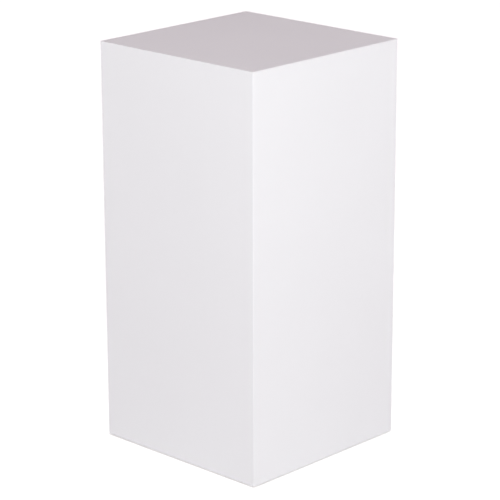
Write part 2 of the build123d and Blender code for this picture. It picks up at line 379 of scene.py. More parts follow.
@dataclass(frozen=True)
class LacqueredBoard:
    """Satin white lacquer sprayed on fibreboard, with the raw board showing inside.

    Attributes:
        lacquer: Colour of a full coat.
        thin_coat: Colour where the coat is a little thinner.
        board: Colour of the raw fibreboard.
        board_fibre: Colour of its darker fibres.
        peel_scale: Scale of the fine orange peel of the spray.
        peel_depth: Depth of the orange peel in metres.
        felt_scale: Scale of the fibres of the raw board.
        coat_roughness: Roughness of a thin and of a full coat.
        board_roughness: Roughness of the darker and of the paler board.
    """

    lacquer: Colour = (0.9, 0.9, 0.91)
    thin_coat: Colour = (0.888, 0.888, 0.898)
    board: Colour = (0.46, 0.33, 0.21)
    board_fibre: Colour = (0.35, 0.24, 0.15)
    peel_scale: float = 420.0
    peel_depth: float = 0.00003
    felt_scale: float = 1700.0
    coat_roughness: Range = (0.5, 0.42)
    board_roughness: Range = (0.9, 0.8)

    def build(self, effects: SurfaceEffects) -> Material:
        """Builds the material.

        Args:
            effects: The shared effects.

        Returns:
            The material.
        """
        surface = Surface("satin_white_lacquer", 0.4)
        graph, spot = surface.graph, surface.spot
        skin = graph.use(effects.outer_skin, {"Vector": spot}).outputs["Mask"]
        peel = {"Vector": spot, "Cloud Scale": 6.0, "Speck Scale": self.peel_scale}
        coat = graph.use(effects.mottle, peel)
        fibres = {"Vector": spot, "Cloud Scale": 40.0, "Speck Scale": self.felt_scale, "Speck Share": 0.7}
        felt = graph.use(effects.mottle, fibres)
        white = graph.blend(coat.outputs["Value"], rgba(self.thin_coat), rgba(self.lacquer))
        raw = graph.blend(felt.outputs["Value"], rgba(self.board_fibre), rgba(self.board))
        sheen = graph.spread(coat.outputs["Value"], 0.0, 1.0, *self.coat_roughness)
        matt = graph.spread(felt.outputs["Value"], 0.0, 1.0, *self.board_roughness)
        height = graph.slide(skin, felt.outputs["Speck"], coat.outputs["Speck"])
        colour, rough = graph.blend(skin, raw, white), graph.slide(skin, matt, sheen)
        return surface.close(colour, rough, height, self.peel_depth)


@dataclass(frozen=True)
class Plywood:
    """Birch plywood: a pale veneer, and glue lines and darker cross plies on its edges.

    Attributes:
        name: Name of the material.
        across: Direction through the plies.
        start: Distance of the first ply's face from the origin in that direction.
        grain: The way the face veneer runs.
        ply: Thickness of one ply.
        glue_line: Share of a ply that its glue line takes.
        veneer: Colour of the face veneer.
        veneer_figure: Colour of its darker figure.
        cross_ply: Colour of the end grain of the cross plies.
        glue: Colour of the glue lines.
        roughness: Roughness of the least and the most fibrous places.
        flat_share: How squarely a surface has to face along the plies' direction to be a face.
        grain_depth: Depth of the grain in metres.
    """

    name: str = "base_board_plywood"
    across: tuple[float, float, float] = (0.0, 0.0, 1.0)
    start: float = 0.016
    grain: Grain = Grain.ALONG_X
    ply: float = 0.0018
    glue_line: float = 0.08
    veneer: Colour = (0.72, 0.57, 0.39)
    veneer_figure: Colour = (0.58, 0.42, 0.26)
    cross_ply: Colour = (0.45, 0.31, 0.19)
    glue: Colour = (0.14, 0.08, 0.045)
    roughness: Range = (0.55, 0.72)
    flat_share: float = 0.8
    grain_depth: float = 0.00008

    def build(self, effects: SurfaceEffects) -> Material:
        """Builds the material.

        Args:
            effects: The shared effects.

        Returns:
            The material.
        """
        surface = Surface(self.name, 0.3)
        graph, spot = surface.graph, surface.spot
        along = graph.add("ShaderNodeMapping", {"Vector": spot, "Rotation": self.grain.value})
        rings = {"Vector": along, "Ring Gap": 0.014, "Ring Wander": 0.035, "Fibre Scale": 900.0}
        wood = graph.use(effects.fibre, rings)
        figure = graph.slide(0.5, wood.outputs["Rings"], wood.outputs["Fibres"])
        face = graph.blend(figure, rgba(self.veneer), rgba(self.veneer_figure))
        depth = graph.math("SUBTRACT", graph.dot(spot, self.across), self.start)
        layer = graph.math("DIVIDE", depth, self.ply)
        crossed = graph.math("GREATER_THAN", graph.math("FRACT", graph.math("MULTIPLY", layer, 0.5)), 0.5)
        edge = graph.blend(crossed, face, rgba(self.cross_ply))
        line = graph.math("LESS_THAN", graph.math("PINGPONG", layer, 0.5), self.glue_line)
        edge = graph.blend(line, edge, rgba(self.glue))
        outward = graph.add("ShaderNodeTexCoord", out="Normal")
        facing = graph.math("ABSOLUTE", graph.dot(outward, self.across))
        flat = graph.math("GREATER_THAN", facing, self.flat_share)
        rough = graph.spread(wood.outputs["Fibres"], 0.3, 0.7, *self.roughness)
        return surface.close(graph.blend(flat, edge, face), rough, wood.outputs["Fibres"], self.grain_depth)


@dataclass(frozen=True)
class Pine:
    """Planed pine with its grain along the piece.

    Attributes:
        grain: The way the piece runs.
        ring_gap: Width of one year's growth.
        early: Colour of the early wood.
        late: Colour of the late wood.
        roughness: Roughness of the early and of the late wood.
        grain_depth: Depth of the grain in metres.
    """

    grain: Grain = Grain.UPRIGHT
    ring_gap: float = 0.0031
    early: Colour = (0.74, 0.56, 0.35)
    late: Colour = (0.58, 0.37, 0.19)
    roughness: Range = (0.62, 0.5)
    grain_depth: float = 0.00004

    def build(self, effects: SurfaceEffects) -> Material:
        """Builds the material.

        Args:
            effects: The shared effects.

        Returns:
            The material.
        """
        surface = Surface(f"pine_{self.grain.name.lower()}", 0.3)
        graph = surface.graph
        along = graph.add("ShaderNodeMapping", {"Vector": surface.spot, "Rotation": self.grain.value})
        wood = graph.use(effects.fibre, {"Vector": along, "Ring Gap": self.ring_gap, "Ring Wander": 0.012})
        figure = graph.slide(0.35, wood.outputs["Rings"], wood.outputs["Fibres"])
        rough = graph.spread(figure, 0.0, 1.0, *self.roughness)
        colour = graph.blend(figure, rgba(self.early), rgba(self.late))
        return surface.close(colour, rough, figure, self.grain_depth)


@dataclass(frozen=True)
class EvenFinish:
    """One colour all over with a soft cloudy change: zinc plate, moulded nylon or rubber.

    Attributes:
        name: Name of the material.
        start: Colour where the cloudy change begins.
        end: Colour where it ends.
        roughness: Roughness at both places.
        cloud: Scale of the cloudy change.
        texture: Scale of the fine texture.
        depth: Depth of the fine texture in metres.
        metallic: 1 for bare metal.
    """

    name: str
    start: Colour
    end: Colour
    roughness: Range
    cloud: float
    texture: float
    depth: float
    metallic: float = 0.0

    def build(self, effects: SurfaceEffects) -> Material:
        """Builds the material.

        Args:
            effects: The shared effects.

        Returns:
            The material.
        """
        surface = Surface(self.name, 0.5, self.metallic)
        graph = surface.graph
        wires = {"Vector": surface.spot, "Cloud Scale": self.cloud, "Speck Scale": self.texture}
        haze = graph.use(effects.mottle, wires)
        colour = graph.blend(haze.outputs["Value"], rgba(self.start), rgba(self.end))
        rough = graph.spread(haze.outputs["Value"], 0.0, 1.0, *self.roughness)
        return surface.close(colour, rough, haze.outputs["Speck"], self.depth)


DULL_ZINC, BRIGHT_ZINC = (0.55, 0.56, 0.57), (0.74, 0.75, 0.78)
BLACK, WORN_BLACK = (0.026, 0.026, 0.028), (0.05, 0.05, 0.052)
GREY, WORN_GREY = (0.1, 0.1, 0.1), (0.15, 0.148, 0.145)
ZINC = EvenFinish("bright_zinc_plate", DULL_ZINC, BRIGHT_ZINC, (0.42, 0.24), 180.0, 2600.0, 0.00002, 1.0)
NYLON = EvenFinish("matt_black_nylon", BLACK, WORN_BLACK, (0.5, 0.65), 120.0, 2400.0, 0.00004)
RUBBER = EvenFinish("dark_grey_rubber", GREY, WORN_GREY, (0.75, 0.9), 120.0, 1500.0, 0.00006)


def add_object(name: str, mesh: Mesh) -> Object:
    """Puts a mesh into the scene.

    Args:
        name: Name of the object.
        mesh: Its mesh.

    Returns:
        The new object.
    """
    made = bpy.data.objects.new(name, mesh)
    bpy.context.scene.collection.objects.link(made)
    return made


def smooth(mesh: Mesh, angle: float = 32.0) -> Mesh:
    """Smooths a mesh, except at its sharp edges.

    Args:
        mesh: The mesh, which is changed.
        angle: Degrees from which an edge stays sharp.

    Returns:
        The same mesh.
    """
    mesh.shade_smooth()
    mesh.set_sharp_from_angle(angle=math.radians(angle))
    return mesh


def bake_nodes(mesh: Mesh, tree: NodeTree, values: dict[str, Any]) -> Mesh:
    """Runs a geometry tree on a mesh and gives the plain mesh that comes out.

    Args:
        mesh: The mesh that the tree starts from, which isn't changed.
        tree: The geometry tree.
        values: The value of each named input of the tree.

    Returns:
        The new mesh.
    """
    holder = add_object("holder", mesh)
    modifier = holder.modifiers.new("nodes", "NODES")
    modifier.node_group = tree
    names = {item.name: item.identifier for item in tree.interface.items_tree if item.in_out == "INPUT"}
    for name, value in values.items():
        modifier[names[name]] = value
    evaluated = holder.evaluated_get(bpy.context.evaluated_depsgraph_get())
    baked = bpy.data.meshes.new_from_object(evaluated)
    bpy.data.objects.remove(holder)
    return baked


def joined(name: str, meshes: Sequence[Mesh], material: Material) -> Mesh:
    """Joins several meshes into one, with one material.

    Args:
        name: Name of the joined mesh.
        meshes: The meshes, which are removed afterwards.
        material: The material of the whole.

    Returns:
        The joined mesh.
    """
    together = bmesh.new()
    for mesh in meshes:
        together.from_mesh(mesh)
        bpy.data.meshes.remove(mesh)
    for face in together.faces:
        face.material_index = 0
    result = bpy.data.meshes.new(name)
    together.to_mesh(result)
    together.free()
    result.materials.clear()
    result.materials.append(material)
    return smooth(result)


def lathe(rows: Sequence[tuple[Any, float]], sides: int) -> Mesh:
    """Turns a profile about the Z axis into a closed solid.

    Args:
        rows: Radius and height of each profile point, from one end of the solid to the
            other with the solid on the left; a radius may be a function of the angle, and a
            radius of 0 is a point on the axis.
        sides: Number of sides of the solid.

    Returns:
        The closed mesh, its faces outwards.
    """
    build = bmesh.new()
    rings: list[list[bmesh.types.BMVert]] = []
    for radius, height in rows:
        if radius == 0:
            rings.append([build.verts.new((0, 0, height))])
            continue
        ring = []
        for i in range(sides):
            angle = 2 * math.pi * i / sides
            reach = radius(angle) if callable(radius) else radius
            ring.append(build.verts.new((reach * math.cos(angle), reach * math.sin(angle), height)))
        rings.append(ring)
    for low, high in zip(rings, rings[1:]):
        for i in range(sides):
            near, far = ([ring[j % len(ring)] for j in (i, i + 1)] for ring in (low, high))
            build.faces.new(list(dict.fromkeys([*near, *reversed(far)])))
    for ring in (rings[0], rings[-1]):
        if len(ring) > 1:
            build.faces.new(ring)
    bmesh.ops.recalc_face_normals(build, faces=build.faces)
    mesh = bpy.data.meshes.new("turned")
    build.to_mesh(mesh)
    build.free()
    return mesh


class ShapeTrees:
    """Geometry trees for what repeats: threads, flutes, rings and placed screws.

    Attributes:
        ROWS: Rows of points in one turn of a thread.
        RISES: Share of the pitch at which each row after the first lies, from root to crest to root.
        MATCH: How near a row's number has to be to count as that row.
        WELD: Distance within which points of a thread become one.
        LEAST: The smallest radius that is divided by.
        GROOVE: Where on a wave across the pad a groove begins and where it is full.
        ON_PLANE: How near a point has to be to the underside to belong to it.
    """

    ROWS = 4.0
    RISES = (5 / 16, 7 / 16, 12 / 16)
    MATCH = 0.1
    WELD = 2e-6
    LEAST = 1e-6
    GROOVE = (-0.2, -0.7)
    ON_PLANE = 0.0001

    def __init__(self) -> None:
        """Builds every tree once."""
        self.thread = self._thread()
        self.flutes = self._flutes()
        self.rings = self._rings()
        self.placed = self._placed()

    @staticmethod
    def _geometry_group(name: str, inputs: Sequence[tuple[str, str, Any]]) -> tuple[Graph, Node, Node]:
        """Starts a group that takes and gives a mesh and takes a material.

        Args:
            name: Name of the group.
            inputs: Its further inputs, as for new_group().

        Returns:
            The graph, its input node and its output node.
        """
        start = [("Geometry", GEOMETRY, None)]
        end = [("Material", "NodeSocketMaterial", None)]
        return new_group("GeometryNodeTree", name, [*start, *inputs, *end], [("Geometry", GEOMETRY)])

    @staticmethod
    def _finish(graph: Graph, given: Node, result: Node, mesh: Any) -> NodeTree:
        """Ends a tree with real geometry and its material.

        Args:
            graph: The graph of the tree.
            given: Its input node.
            result: Its output node.
            mesh: Socket of the geometry so far.

        Returns:
            The tree.
        """
        real = graph.add("GeometryNodeRealizeInstances", {"Geometry": mesh})
        wires = {"Geometry": real, "Material": given.outputs["Material"]}
        faced = graph.add("GeometryNodeSetMaterial", wires)
        graph.tree.links.new(faced, result.inputs["Geometry"])
        return graph.tree

    @classmethod
    def _thread(cls) -> NodeTree:
        """A threaded rod: a grid rolled up with each row one pitch higher at the end of its turn.

        Returns:
            The group's tree.
        """
        lengths = ["Major Radius", "Minor Radius", "Pitch", "Bottom", "Top"]
        lengths += [f"{end} {length}" for end in ("Bottom", "Top") for length in ("Radius", "Taper")]
        graph, given, result = cls._geometry_group(
            "screw_thread",
            [*[(name, FLOAT, 0.001) for name in lengths], ("Sides", "NodeSocketInt", 24)],
        )
        take = given.outputs
        length = graph.math("SUBTRACT", take["Top"], take["Bottom"])
        turns = graph.math("CEIL", graph.math("DIVIDE", length, take["Pitch"]))
        rows = graph.math("MULTIPLY", graph.math("ADD", turns, 1.0), cls.ROWS)
        across = graph.math("ADD", take["Sides"], 1.0)
        along = graph.math("ADD", rows, 1.0)
        size = {"Size X": 1.0, "Size Y": 1.0, "Vertices X": across, "Vertices Y": along}
        grid = graph.add("GeometryNodeMeshGrid", size, out="Mesh")
        grid_x, grid_y, _ = graph.split(graph.add("GeometryNodeInputPosition"))
        share = graph.math("ADD", grid_x, 0.5)
        row = graph.math("ROUND", graph.math("MULTIPLY", graph.math("ADD", grid_y, 0.5), rows))
        turn = graph.math("FLOOR", graph.math("DIVIDE", graph.math("ADD", row, 0.5), cls.ROWS))
        step = graph.math("SUBTRACT", row, graph.math("MULTIPLY", turn, cls.ROWS))
        steps = [graph.math("COMPARE", step, number, cls.MATCH) for number in (1.0, 2.0, 3.0)]
        rise: Any = 0.0
        for chosen, part in zip(steps, cls.RISES):
            rise = graph.math("MULTIPLY_ADD", chosen, part, rise)
        climb = graph.math("ADD", graph.math("ADD", turn, rise), graph.math("SUBTRACT", share, 1.0))
        height = graph.math("MULTIPLY_ADD", climb, take["Pitch"], take["Bottom"])
        held = graph.math("MAXIMUM", graph.math("MINIMUM", height, take["Top"]), take["Bottom"])
        crest = graph.math("ADD", steps[0], steps[1])
        reach = graph.slide(crest, take["Minor Radius"], take["Major Radius"])
        above = graph.math("SUBTRACT", held, take["Bottom"])
        below = graph.math("SUBTRACT", take["Top"], held)
        for end, towards in (("Bottom", above), ("Top", below)):
            gain = graph.math("SUBTRACT", take["Major Radius"], take[f"{end} Radius"])
            slope = graph.math("DIVIDE", gain, take[f"{end} Taper"])
            limit = graph.math("MULTIPLY_ADD", towards, slope, take[f"{end} Radius"])
            reach = graph.math("MINIMUM", reach, limit)
        angle = graph.math("MULTIPLY", share, 2 * math.pi)
        x, y = (graph.math("MULTIPLY", reach, graph.math(wave, angle)) for wave in ("COSINE", "SINE"))
        place = graph.vector(x, y, held)
        rolled = graph.add("GeometryNodeSetPosition", {"Geometry": grid, "Position": place})
        parts = [rolled]
        for end, flip in (("Bottom", True), ("Top", False)):
            size = {"Vertices": take["Sides"], "Radius": take[f"{end} Radius"]}
            disc = graph.add("GeometryNodeMeshCircle", size, fill_type="NGON")
            if flip:
                disc = graph.add("GeometryNodeFlipFaces", {"Mesh": disc})
            lift = graph.vector(0.0, 0.0, take[end])
            parts.append(graph.add("GeometryNodeSetPosition", {"Geometry": disc, "Offset": lift}))
        whole = graph.node("GeometryNodeJoinGeometry")
        for part in parts:
            graph.tree.links.new(part, whole.inputs["Geometry"])
        loose = {"Geometry": whole.outputs["Geometry"], "Distance": cls.WELD}
        merged = graph.add("GeometryNodeMergeByDistance", loose)
        return cls._finish(graph, given, result, merged)

    @classmethod
    def _flutes(cls) -> NodeTree:
        """Grip flutes: the outermost points of a turned piece, drawn in by a cosine of their angle.

        Returns:
            The group's tree.
        """
        graph, given, result = cls._geometry_group(
            "grip_flutes",
            [
                ("Flutes", FLOAT, 24.0),
                ("Depth", FLOAT, 0.0005),
                ("Plain Radius", FLOAT, 0.013),
                ("Full Radius", FLOAT, 0.0145),
            ],
        )
        take = given.outputs
        spot = graph.add("GeometryNodeInputPosition")
        across, deep, _ = graph.split(spot)
        radius = graph.radius(across, deep)
        angle = graph.math("ARCTAN2", deep, across)
        wave = graph.math("COSINE", graph.math("MULTIPLY", angle, take["Flutes"]))
        drawn = graph.spread(wave, -1.0, 1.0, 1.0, 0.0)
        outer = graph.spread(radius, take["Plain Radius"], take["Full Radius"])
        share = graph.math("MULTIPLY", drawn, outer)
        drop = graph.math("MULTIPLY", share, take["Depth"])
        cut = graph.math("DIVIDE", drop, graph.math("MAXIMUM", radius, cls.LEAST))
        keep = graph.math("SUBTRACT", 1.0, cut)
        scale = graph.vector(keep, keep, 1.0)
        place = graph.add("ShaderNodeVectorMath", {0: spot, 1: scale}, operation="MULTIPLY")
        moved = graph.add("GeometryNodeSetPosition", {"Geometry": take["Geometry"], "Position": place})
        return cls._finish(graph, given, result, moved)

    @classmethod
    def _rings(cls) -> NodeTree:
        """Round grooves in the underside of a pad, evenly spaced by radius.

        Returns:
            The group's tree.
        """
        graph, given, result = cls._geometry_group(
            "pad_rings",
            [
                ("Gap", FLOAT, 0.0026),
                ("Depth", FLOAT, 0.0004),
                ("Underside", FLOAT, 0.0),
                ("Rim", FLOAT, 0.0115),
            ],
        )
        take = given.outputs
        across, deep, up = graph.split(graph.add("GeometryNodeInputPosition"))
        radius = graph.radius(across, deep)
        turns = graph.math("DIVIDE", radius, take["Gap"])
        wave = graph.math("COSINE", graph.math("MULTIPLY", turns, 2 * math.pi))
        groove = graph.spread(wave, *cls.GROOVE)
        within = graph.math("LESS_THAN", radius, take["Rim"])
        below = graph.math("COMPARE", up, take["Underside"], cls.ON_PLANE)
        cut = graph.math("MULTIPLY", groove, take["Depth"])
        offset = graph.vector(0.0, 0.0, graph.math("MULTIPLY", cut, graph.math("MULTIPLY", within, below)))
        moved = graph.add("GeometryNodeSetPosition", {"Geometry": take["Geometry"], "Offset": offset})
        return cls._finish(graph, given, result, moved)

    @classmethod
    def _placed(cls) -> NodeTree:
        """One screw at each point of a mesh, turned as the point's attribute says.

        Returns:
            The group's tree.
        """
        graph, given, result = cls._geometry_group("placed_screws", [("Screw", "NodeSocketObject", None)])
        screw = graph.add("GeometryNodeObjectInfo", {"Object": given.outputs["Screw"]}, out="Geometry")
        turn = graph.add(
            "GeometryNodeInputNamedAttribute", {"Name": "turn"}, out="Attribute", data_type="FLOAT_VECTOR"
        )
        rotation = graph.add("FunctionNodeEulerToRotation", {"Euler": turn})
        wires = {"Points": given.outputs["Geometry"], "Instance": screw, "Rotation": rotation}
        return cls._finish(graph, given, result, graph.add("GeometryNodeInstanceOnPoints", wires))


def dress_node(node: str, material: Material) -> None:
    """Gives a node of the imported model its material.

    Args:
        node: Name of the node.
        material: The material that it gets.
    """
    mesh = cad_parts[node].data
    mesh.materials.clear()
    mesh.materials.append(material)


@dataclass
class Box:
    """The five lacquered boards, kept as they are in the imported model."""

    finish: LacqueredBoard = field(default_factory=LacqueredBoard)

    def dress(self, effects: SurfaceEffects) -> None:
        """Gives every board its lacquer.

        Args:
            effects: The shared effects.
        """
        material = self.finish.build(effects)
        for node in ["top_panel", *[f"{side}_panel" for side in SIDE_TURNS]]:
            dress_node(node, material)
        LOG.info("box: five lacquered boards")


def along_side(side: str) -> Grain:
    """The grain of a piece that runs along that side."""
    return Grain.ALONG_X if side in ("front", "back") else Grain.ALONG_Y


@dataclass
class InnerTimber:
    """Battens and cleats inside the box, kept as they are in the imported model."""

    def dress(self, effects: SurfaceEffects) -> None:
        """Gives each piece a timber whose grain runs along it.

        Args:
            effects: The shared effects.
        """
        timber = {grain: Pine(grain).build(effects) for grain in Grain}
        for corner in CORNERS:
            dress_node(f"corner_batten_{corner}", timber[Grain.UPRIGHT])
        for side in SIDE_TURNS:
            grain = along_side(side)
            dress_node(f"top_cleat_{side}", timber[grain])
            dress_node(f"bottom_cleat_{side}", timber[grain])
        LOG.info("inner timber: four battens and eight cleats")


@dataclass
class BaseBoard:
    """The plywood base board, the plywood splines and the tee nuts."""

    plywood: Plywood = field(default_factory=Plywood)

    def dress(self, effects: SurfaceEffects, zinc: Material) -> None:
        """Gives the board and splines their plywood and the tee nuts their plate.

        Args:
            effects: The shared effects.
            zinc: Material of the tee nuts.
        """
        dress_node("base_panel", self.plywood.build(effects))
        half = math.sqrt(0.5)
        for corner, (x_sign, y_sign) in CORNERS.items():
            across = (x_sign * half, y_sign * half, 0.0)
            dress_node(f"corner_spline_{corner}", self._spline(corner, across, Grain.UPRIGHT).build(effects))
        for side, turn in SIDE_TURNS.items():
            across = (math.sin(turn) * half, -math.cos(turn) * half, half)
            grain = along_side(side)
            dress_node(f"top_spline_{side}", self._spline(side, across, grain).build(effects))
        dress_node("tee_nuts", zinc)
        LOG.info("base board, eight splines and four tee nuts")

    @staticmethod
    def _spline(place: str, across: tuple[float, float, float], grain: Grain) -> Plywood:
        """Plywood of one spline, its plies across the spline's own thickness."""
        return Plywood(f"spline_plywood_{place}", across, 0.0, grain)


@dataclass
class WoodScrews:
    """Countersunk cross-recess wood screws.

    Attributes:
        head_radius: Radius of the head.
        shank_radius: Radius of the plain shank under it.
        thread_radius: Radius over the thread.
        root_radius: Radius under the thread.
        pitch: Rise of the thread in one turn.
        plain_length: Length of the head and plain shank.
        point_length: Length of the tapered point.
        recess_reach: Half the width of the cross recess.
        recess_half_slot: Half the width of one slot of it.
        recess_depth: Depth of the recess.
        recess_floor: Size of the recess's floor against its mouth.
        head_edge: Size of the eased edge of the head.
        tip_radius: Radius of the blunt tip.
        sides: Sides of the head and shank.
        thread_sides: Sides of the thread.
    """

    head_radius: float = 4.0 * MM
    shank_radius: float = 1.45 * MM
    thread_radius: float = 2.0 * MM
    root_radius: float = 1.3 * MM
    pitch: float = 1.8 * MM
    plain_length: float = 9.0 * MM
    point_length: float = 5.0 * MM
    recess_reach: float = 2.1 * MM
    recess_half_slot: float = 0.45 * MM
    recess_depth: float = 1.5 * MM
    recess_floor: float = 0.55
    head_edge: float = 0.25 * MM
    tip_radius: float = 0.15 * MM
    sides: int = 24
    thread_sides: int = 16

    def _cross(self, share: float, height: float) -> list[tuple[float, float, float]]:
        """Outline of the cross recess, anticlockwise.

        Args:
            share: Size of the outline against the open end.
            height: Height of the outline.

        Returns:
            Its twelve corners.
        """
        reach, slot = self.recess_reach * share, self.recess_half_slot
        arm = [(reach, -slot), (reach, slot), (slot, slot)]
        corners = []
        for quarter in range(4):
            turn = Matrix.Rotation(quarter * math.pi / 2, 2)
            corners += [(*(turn @ Vector(point)), height) for point in arm]
        return corners

    def _head(self) -> Mesh:
        """The head with its recess, and the plain shank down to the thread.

        Returns:
            The mesh, closed.
        """
        build = bmesh.new()
        edge = self.head_edge
        neck = self.head_radius - self.shank_radius
        rows = [
            (self.head_radius - edge, 0.0),
            (self.head_radius, -edge),
            (self.head_radius, -2 * edge),
            (self.shank_radius, -neck - edge),
            (self.shank_radius, -self.plain_length),
        ]
        angles = [2 * math.pi * i / self.sides for i in range(self.sides)]
        rings = []
        for radius, height in rows:
            points = [(radius * math.cos(angle), radius * math.sin(angle), height) for angle in angles]
            rings.append([build.verts.new(point) for point in points])
        for high, low in zip(rings, rings[1:]):
            for i in range(self.sides):
                j = (i + 1) % self.sides
                build.faces.new([low[i], low[j], high[j], high[i]])
        build.faces.new(list(reversed(rings[-1])))
        mouth = [build.verts.new(corner) for corner in self._cross(1.0, 0.0)]
        floor = [build.verts.new(corner) for corner in self._cross(self.recess_floor, -self.recess_depth)]
        for i in range(len(mouth)):
            j = (i + 1) % len(mouth)
            build.faces.new([mouth[i], mouth[j], floor[j], floor[i]])
        rim, slot, base = (
            [build.edges.get(pair) for pair in zip(loop, [*loop[1:], loop[0]])]
            for loop in (rings[0], mouth, floor)
        )
        for outline in (rim + slot, base):
            bmesh.ops.triangle_fill(build, edges=outline, use_beauty=True, use_dissolve=False)
        bmesh.ops.recalc_face_normals(build, faces=build.faces)
        mesh = bpy.data.meshes.new("screw_head")
        build.to_mesh(mesh)
        build.free()
        return mesh

    def build(self, length: float, trees: ShapeTrees, zinc: Material) -> Object:
        """One screw, head up with its top at the origin.

        Args:
            length: Length of the screw.
            trees: The geometry trees.
            zinc: Material of the screw.

        Returns:
            The pattern screw.
        """
        thread = bake_nodes(
            bpy.data.meshes.new("thread"),
            trees.thread,
            {
                "Major Radius": self.thread_radius,
                "Minor Radius": self.root_radius,
                "Pitch": self.pitch,
                "Bottom": -length,
                "Top": -self.plain_length + self.pitch / 2,
                "Bottom Radius": self.tip_radius,
                "Bottom Taper": self.point_length,
                "Top Radius": self.root_radius,
                "Top Taper": self.pitch,
                "Sides": self.thread_sides,
                "Material": zinc,
            },
        )
        return add_object("pattern_screw", joined("pattern_screw", [self._head(), thread], zinc))

    def place(
        self,
        node: str,
        length: float,
        spots: Sequence[tuple[Vector, Euler]],
        trees: ShapeTrees,
        zinc: Material,
    ) -> None:
        """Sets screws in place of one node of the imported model.

        Args:
            node: The node that they replace.
            length: Length of each screw.
            spots: Middle of each head's top and the turn of each screw.
            trees: The geometry trees.
            zinc: Material of the screws.
        """
        pattern = self.build(length, trees, zinc)
        points = bpy.data.meshes.new("screw_points")
        points.from_pydata([spot for spot, _ in spots], [], [])
        turns = points.attributes.new("turn", "FLOAT_VECTOR", "POINT")
        for item, (_, turn) in zip(turns.data, spots):
            item.vector = tuple(turn)
        mesh = bake_nodes(points, trees.placed, {"Screw": pattern, "Material": zinc})
        bpy.data.objects.remove(pattern)
        screws = add_object(f"{node}_turned", mesh)
        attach(screws, "plinth")
        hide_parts(node)
        LOG.info("%s: %d screws, %d faces", node, len(spots), len(mesh.polygons))


@dataclass
class ScrewPattern:
    """Where the screws of the base board and cleats stand.

    Attributes:
        line: Distance of the base screws' line from the middle of the box.
        base_along: Distance of the base screws from the middle of their side.
        base_height: Height of the base screws' heads.
        cleat_face: Distance of the cleat screws' heads from the middle of the box.
        cleat_along: Distance of the cleat screws from the middle of their side.
        cleat_heights: Heights of the bottom and top cleat screws.
        base_length: Length of the base screws.
        cleat_length: Length of the cleat screws.
        spin_step: How much further each screw is turned than the one before, in radians.
    """

    line: float = 125.0 * MM
    base_along: float = 59.5 * MM
    base_height: float = 16.3 * MM
    cleat_face: float = 115.3 * MM
    cleat_along: float = 89.5 * MM
    cleat_heights: dict[str, float] = field(default_factory=lambda: {"bottom": 44.0 * MM, "top": 575.0 * MM})
    base_length: float = 35.0 * MM
    cleat_length: float = 30.0 * MM
    spin_step: float = 0.7

    def _spots(self, point: tuple[float, float], height: float, tilt: float) -> list[tuple[Vector, Euler]]:
        """Both screws of every side.

        Args:
            point: Distance along the side and in front of the middle.
            height: Height of the heads.
            tilt: Turn of the screw about the X axis, before its side's own turn.

        Returns:
            Place and turn of each screw.
        """
        along, out = point
        spots = []
        for turn in SIDE_TURNS.values():
            for sign in (-1, 1):
                around = Matrix.Rotation(turn, 3, "Z")
                spin = Matrix.Rotation(self.spin_step * len(spots), 3, "Z")
                pose = around @ Matrix.Rotation(tilt, 3, "X") @ spin
                spots.append((around @ Vector((sign * along, -out, height)), pose.to_euler()))
        return spots

    def build(self, trees: ShapeTrees, zinc: Material) -> None:
        """Sets every screw of the pedestal.

        Args:
            trees: The geometry trees.
            zinc: Material of the screws.
        """
        screws = WoodScrews()
        base = self._spots((self.base_along, self.line), self.base_height, math.pi)
        screws.place("base_screws", self.base_length, base, trees, zinc)
        for level, height in self.cleat_heights.items():
            spots = self._spots((self.cleat_along, self.cleat_face), height, -math.pi / 2)
            screws.place(f"{level}_cleat_screws", self.cleat_length, spots, trees, zinc)


